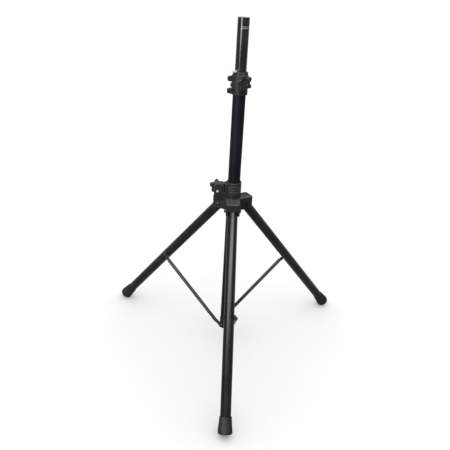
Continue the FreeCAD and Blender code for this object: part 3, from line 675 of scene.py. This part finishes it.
def adopt(piece: bpy.types.Object, node: str, body: str, slot: Slot,
          wardrobe: Wardrobe) -> None:
    """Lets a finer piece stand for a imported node.

    Args:
        piece: The new piece.
        node: The node that it stands for.
        body: The body that it moves with.
        slot: The slot of its finish.
        wardrobe: What dresses it.
    """
    wardrobe.dress(piece, slot)
    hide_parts(node)
    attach(piece, body)
    log.info("built %s for %s", piece.name, node)


@dataclass(frozen=True)
class StarKnob:
    """A five-lobed clamp knob: a hub, a soft star and a dished face.

    Stations are (blend to star, inset or radius, height), in metres. On a station of
    blend 0 the second value is a plain radius; on one of blend 1 it is the inset from
    the star's outline.
    """

    lobes: int = 5
    valley: float = 0.0158
    reach: float = 0.0240
    lobe_power: float = 0.85
    around: int = 200
    ring_step: float = 0.0009
    tip_share: float = 0.985
    stations: tuple[tuple[float, float, float], ...] = (
        (0.0, 0.0, 0.0), (0.0, 0.0092, 0.0), (0.0, 0.0100, 0.0008), (0.0, 0.0100, 0.0052),
        (0.0, 0.0106, 0.0060), (1.0, 0.0034, 0.0061), (1.0, 0.0016, 0.0067),
        (1.0, 0.0004, 0.0084), (1.0, 0.0, 0.0108), (1.0, 0.0, 0.0165), (1.0, 0.0003, 0.0184),
        (1.0, 0.0011, 0.0202), (1.0, 0.0024, 0.0213), (1.0, 0.0040, 0.0218),
        (0.0, 0.0108, 0.0220), (0.0, 0.0094, 0.0219), (0.0, 0.0087, 0.0210),
        (0.0, 0.0080, 0.0206), (0.0, 0.0050, 0.0207), (0.0, 0.0, 0.0209))

    def outline(self, angle: np.ndarray, phase: float) -> np.ndarray:
        """Radius of the star: valley + (reach - valley) x ((1 + cos(lobes x angle)) / 2) ^ power.

        Args:
            angle: Angles round the knob.
            phase: Angle of a lobe's tip.

        Returns:
            The radius at each angle.
        """
        wave = 0.5 + 0.5 * np.cos(self.lobes * (angle - phase))
        return self.valley + (self.reach - self.valley) * wave ** self.lobe_power

    def build(self, name: str, node: str, azimuth: float) -> bpy.types.Object:
        """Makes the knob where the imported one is.

        The rings blend from a circle to the star: radius = (1 - blend) x plain radius
        + blend x (outline - inset), at the station's height above the hub's foot.

        Args:
            name: The new piece's name.
            node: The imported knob.
            azimuth: Compass angle of the knob's axis, in degrees.

        Returns:
            The knob.
        """
        along = np.array([math.cos(math.radians(azimuth)), math.sin(math.radians(azimuth)), 0.0])
        points = node_points(node)
        middle = 0.5 * (points.min(0) + points.max(0))
        rough = Axis.through(middle, along)
        _, radius, angle = rough.local(points)
        tips = angle[radius > self.tip_share * radius.max()]
        phase = float(np.angle(np.mean(np.exp(1j * self.lobes * tips)))) / self.lobes
        axis = Axis.through(middle + self.shift(rough, points), along)
        level, _, _ = axis.local(points)
        rings = finer(np.array([(height, inset, blend)
                                for blend, inset, height in self.stations]), self.ring_step)
        height, inset, blend = (column[:, None] for column in rings.T)
        turn = np.linspace(0.0, TAU, self.around, endpoint=False)[None, :]
        size = (1.0 - blend) * inset + blend * (self.outline(turn, phase) - inset)
        return grid_mesh(name, axis.place(size, turn, level.min() + height))

    def shift(self, rough: Axis, points: np.ndarray) -> np.ndarray:
        """Where the knob's axis lies, against the middle of its box.

        The hub is round, so the mean of the hub's lowest ring is on the axis.

        Args:
            rough: The axis through the box's middle.
            points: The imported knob's vertices.

        Returns:
            The shift from the box's middle to the axis.
        """
        level, _, _ = rough.local(points)
        ring = np.unique(np.round(points[level < level.min() + 1e-5], 6), axis=0)
        away = ring.mean(0) - rough.origin
        return away - rough.along * float(away @ rough.along)


@dataclass(frozen=True)
class RubberFoot:
    """A rubber boot on a leg's end: lip, fine grooves, bell and a ribbed sole."""

    grooves: int = 5
    groove_from: float = 0.0085
    groove_pitch: float = 0.0036
    groove_depth: float = 0.00055
    groove_sharpness: float = 3.0
    sole_rings: int = 3
    sole_depth: float = 0.0007
    sole_share: float = 0.98
    side_step: float = 0.0006
    sole_step: float = 0.0008
    bore_slack: float = 0.0004
    around: int = 144

    def grooved(self, level: np.ndarray) -> np.ndarray:
        """Depth of the grooves at a distance from the mouth.

        Each groove is depth x (1 - |sin(pi x distance / pitch)|) ^ sharpness, and the
        run of grooves starts and stops at whole pitches.

        Args:
            level: Distance from the mouth of the boot.

        Returns:
            How far the surface is set in.
        """
        step = (level - self.groove_from) / self.groove_pitch
        inside = (step > -0.5) & (step < self.grooves - 0.5)
        wave = 1.0 - np.abs(np.sin(math.pi * step))
        return np.where(inside, self.groove_depth * wave ** self.groove_sharpness, 0.0)

    def build(self, name: str, node: str, axis: Axis) -> bpy.types.Object:
        """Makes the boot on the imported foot's own outline.

        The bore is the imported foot's radius at the mouth, and what lies outside it is the
        outline. The grooves are taken off the outline and the rings off the sole.

        Args:
            name: The new piece's name.
            node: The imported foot.
            axis: The leg's axis, pointing down to the sole.

        Returns:
            The boot.
        """
        level, radius, _ = axis.local(node_points(node))
        bore = radius[level < level.min() + SAME_LEVEL].min()
        wall = radius > bore + self.bore_slack
        steps = np.unique(np.round(level[wall], 5))
        outer = np.array([(radius[wall & (np.abs(level - step) < SAME_LEVEL)].max(), step)
                          for step in steps])
        top, sole = steps[0], steps[-1]
        inner = level[~wall].max()
        side = finer(outer, self.side_step)
        side[:, 0] -= self.grooved(side[:, 1] - top)
        rim = side[-1, 0]
        flat = finer(np.array([(rim, sole), (0.0, sole)]), self.sole_step)[1:]
        wave = 0.5 - 0.5 * np.cos(TAU * self.sole_rings * flat[:, 0] / rim)
        flat[:, 1] -= self.sole_depth * wave * (flat[:, 0] < rim * self.sole_share)
        start = np.array([(0.0, inner), (bore, inner), (bore, top)])
        profile = np.concatenate([start, side, flat])
        turn = np.linspace(0.0, TAU, self.around, endpoint=False)[None, :]
        return grid_mesh(name, axis.place(profile[:, :1], turn, profile[:, 1:2]))


# ------------------------------------------------------------------ sub-assemblies
@dataclass(frozen=True)
class Mast:
    """The two tubes of the pole with the plug, the bush and the sockets in them."""

    wardrobe: Wardrobe
    parts: dict[str, Slot] = field(default_factory=lambda: {
        "inner_tube": Slot.inner_tube_paint, "outer_tube": Slot.outer_tube_paint,
        "top_cap": Slot.cap_plastic, "guide_bush": Slot.bush_nylon,
        "lower_collar": Slot.moulded_black})

    def build(self) -> None:
        """Dresses the tubes and what closes them."""
        for name, slot in self.parts.items():
            self.wardrobe.dress_node(name, slot)


@dataclass(frozen=True)
class UpperCollar:
    """The collar at the top of the lower tube, its clamp knob and the safety pin."""

    wardrobe: Wardrobe
    knob: StarKnob = StarKnob()
    knob_azimuth: float = 283.0
    parts: dict[str, Slot] = field(default_factory=lambda: {
        "upper_collar": Slot.moulded_black, "collar_bush": Slot.bush_nylon,
        "collar_thread_insert": Slot.brass, "collar_screws": Slot.dark_steel,
        "collar_pressure_pad": Slot.bush_nylon, "collar_knob_stud": Slot.zinc_steel,
        "safety_pin": Slot.zinc_steel})

    def build(self) -> None:
        """Dresses the collar and puts the soft star on its knob."""
        for name, slot in self.parts.items():
            self.wardrobe.dress_node(name, slot)
        star = self.knob.build("collar_star", "collar_knob", self.knob_azimuth)
        adopt(star, "collar_knob", "collar_knob", Slot.knob_plastic, self.wardrobe)


@dataclass(frozen=True)
class Yoke:
    """The sliding yoke that the legs hang from, with its split clamp."""

    wardrobe: Wardrobe
    knob: StarKnob = StarKnob()
    knob_azimuth: float = 95.0
    parts: dict[str, Slot] = field(default_factory=lambda: {
        "leg_yoke": Slot.moulded_black, "yoke_liner": Slot.bush_nylon,
        "yoke_clamp_nut": Slot.dark_steel, "yoke_clamp_washer": Slot.zinc_steel,
        "yoke_knob_stud": Slot.zinc_steel, "leg_pivot_bolts": Slot.dark_steel,
        "leg_pivot_nuts": Slot.dark_steel})

    def build(self) -> None:
        """Dresses the yoke and puts the soft star on its knob."""
        for name, slot in self.parts.items():
            self.wardrobe.dress_node(name, slot)
        star = self.knob.build("yoke_star", "yoke_knob", self.knob_azimuth)
        adopt(star, "yoke_knob", "yoke_knob", Slot.knob_plastic, self.wardrobe)


@dataclass(frozen=True)
class Leg:
    """One leg: tube, plug, boot, rivet, strut and the strut's screw."""

    wardrobe: Wardrobe
    name: str
    azimuth: float
    boot: RubberFoot = RubberFoot()
    angle: float = math.radians(39.0)
    pivot_radius: float = 0.046
    pivot_height: float = 0.545
    parts: dict[str, Slot] = field(default_factory=lambda: {
        "leg_tube": Slot.leg_paint, "leg_head": Slot.moulded_black,
        "brace_rivet": Slot.dark_steel, "brace": Slot.brace_paint,
        "brace_screw": Slot.dark_steel})

    def axis(self) -> Axis:
        """The leg's axis, from its pivot down to the foot.

        Along = (sin angle x cos azimuth, sin angle x sin azimuth, -cos angle).

        Returns:
            The axis.
        """
        turn = math.radians(self.azimuth)
        out = np.array([math.cos(turn), math.sin(turn), 0.0])
        return Axis.through(self.pivot_radius * out + self.pivot_height * UP,
                            math.sin(self.angle) * out - math.cos(self.angle) * UP)

    def build(self) -> None:
        """Dresses the leg and puts the boot on its foot."""
        for part, slot in self.parts.items():
            self.wardrobe.dress_node(f"{part}_{self.name}", slot)
        node = f"leg_foot_{self.name}"
        boot = self.boot.build(f"boot_{self.name}", node, self.axis())
        adopt(boot, node, f"leg_{self.name}", Slot.foot_rubber, self.wardrobe)


# ------------------------------------------------------------------------ studio
@dataclass(frozen=True)
class Softbox:
    """A large soft lamp that looks at a point."""

    name: str
    place: tuple[float, float, float]
    target: tuple[float, float, float]
    width: float
    height: float
    watts: float
    slant: float = 0.0
    spared: tuple[str, ...] = ()

    def build(self) -> None:
        """Hangs the lamp with its face towards the target, turned by slant about that line.

        It shines on the stand alone, without the floor and the spared pieces.
        """
        lit = bpy.data.collections.new(f"{self.name}_lit")
        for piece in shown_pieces():
            if piece.name not in self.spared:
                lit.objects.link(piece)
        lamp = bpy.data.lights.new(self.name, "AREA")
        lamp.shape = "RECTANGLE"
        lamp.size, lamp.size_y = self.width, self.height
        lamp.energy = self.watts
        holder = bpy.data.objects.new(self.name, lamp)
        back = Axis.through(self.place, np.subtract(self.place, self.target))
        pose = np.eye(4)
        pose[:3] = np.stack([np.cross(back.first, back.along), back.first, back.along,
                             np.asarray(self.place)], axis=1)
        holder.matrix_world = Matrix(pose.tolist()) @ Matrix.Rotation(self.slant, 4, "Z")
        holder.light_linking.receiver_collection = lit
        bpy.context.scene.collection.objects.link(holder)


@dataclass(frozen=True)
class Studio:
    """Floor, lamps, sky and camera."""

    camera_place: tuple[float, float, float] = (-0.0612, -1.5814, 1.2536)
    pitch: float = 0.4606
    roll: float = 0.0544
    turn: float = -0.0250
    lens: float = 41.47
    floor_half: float = 60.0
    floor_colour: Colour = (0.93, 0.93, 0.93)
    sky: float = 1.13
    lamps: tuple[Softbox, ...] = (
        Softbox("bar", (-0.34, -2.16, 2.66), (0.0, -0.15, 0.45), 4.4, 0.75, 500.0, slant=0.24),
        Softbox("strip", (-1.80, -2.50, 1.45), (0.0, 0.0, 1.25), 0.95, 1.5, 330.0,
                spared=("leg_tube_front",)))

    def build(self) -> None:
        """Sets up everything that isn't part of the stand."""
        self.floor()
        world = bpy.data.worlds.new("studio_sky")
        world.use_nodes = True
        sky = world.node_tree.nodes["Background"].inputs
        sky["Color"].default_value, sky["Strength"].default_value = (1.0, 1.0, 1.0, 1.0), self.sky
        scene = bpy.context.scene
        scene.world = world
        for lamp in self.lamps:
            lamp.build()
        scene.camera = self.camera()
        scene.view_settings.view_transform = "Standard"

    def floor(self) -> None:
        """Lays a wide pale floor with the faintest mottling."""
        half = self.floor_half
        mesh = bpy.data.meshes.new("floor")
        corners = [(-half, -half, 0.0), (half, -half, 0.0), (half, half, 0.0), (-half, half, 0.0)]
        mesh.from_pydata(corners, [], [(0, 1, 2, 3)])
        piece = bpy.data.objects.new("floor", mesh)
        bpy.context.scene.collection.objects.link(piece)
        graph = Graph("studio_floor")
        mottle = graph.noise(0.4, detail=3.0)
        darker = tuple(0.985 * part for part in self.floor_colour)
        piece.data.materials.append(graph.surface({
            "Base Color": graph.blend(mottle, darker, self.floor_colour),
            "Roughness": 0.9, "Specular IOR Level": 0.05}))
        piece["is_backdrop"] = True

    def camera(self) -> bpy.types.Object:
        """Stands the camera above and in front, leaning down and slightly rolled.

        Right, up and forward are turned by roll about the view, then tipped by pitch,
        then turned about the vertical.

        Returns:
            The camera.
        """
        forward = np.array([0.0, math.cos(self.pitch), -math.sin(self.pitch)])
        upward = np.array([0.0, math.sin(self.pitch), math.cos(self.pitch)])
        side = np.array([1.0, 0.0, 0.0])
        right = math.cos(self.roll) * side + math.sin(self.roll) * upward
        top = math.cos(self.roll) * upward - math.sin(self.roll) * side
        columns = np.stack([right, top, -forward], axis=1)
        swing = np.array(Matrix.Rotation(self.turn, 3, "Z"))
        pose = np.eye(4)
        pose[:3, :3], pose[:3, 3] = swing @ columns, self.camera_place
        data = bpy.data.cameras.new("camera")
        data.lens, data.sensor_width = self.lens, 36.0
        data.clip_start, data.clip_end = 0.05, 200.0
        holder = bpy.data.objects.new("camera", data)
        holder.matrix_world = Matrix(pose.tolist())
        bpy.context.scene.collection.objects.link(holder)
        return holder


def main() -> None:
    """Builds the sub-assemblies from the pole outwards, then the studio."""
    logging.basicConfig(level=logging.INFO, format="%(name)s: %(message)s")
    wardrobe = Wardrobe()
    Mast(wardrobe).build()
    UpperCollar(wardrobe).build()
    Yoke(wardrobe).build()
    for name, azimuth in LEG_AZIMUTHS.items():
        Leg(wardrobe, name, azimuth).build()
    Studio().build()


if __name__ == "__main__":
    main()
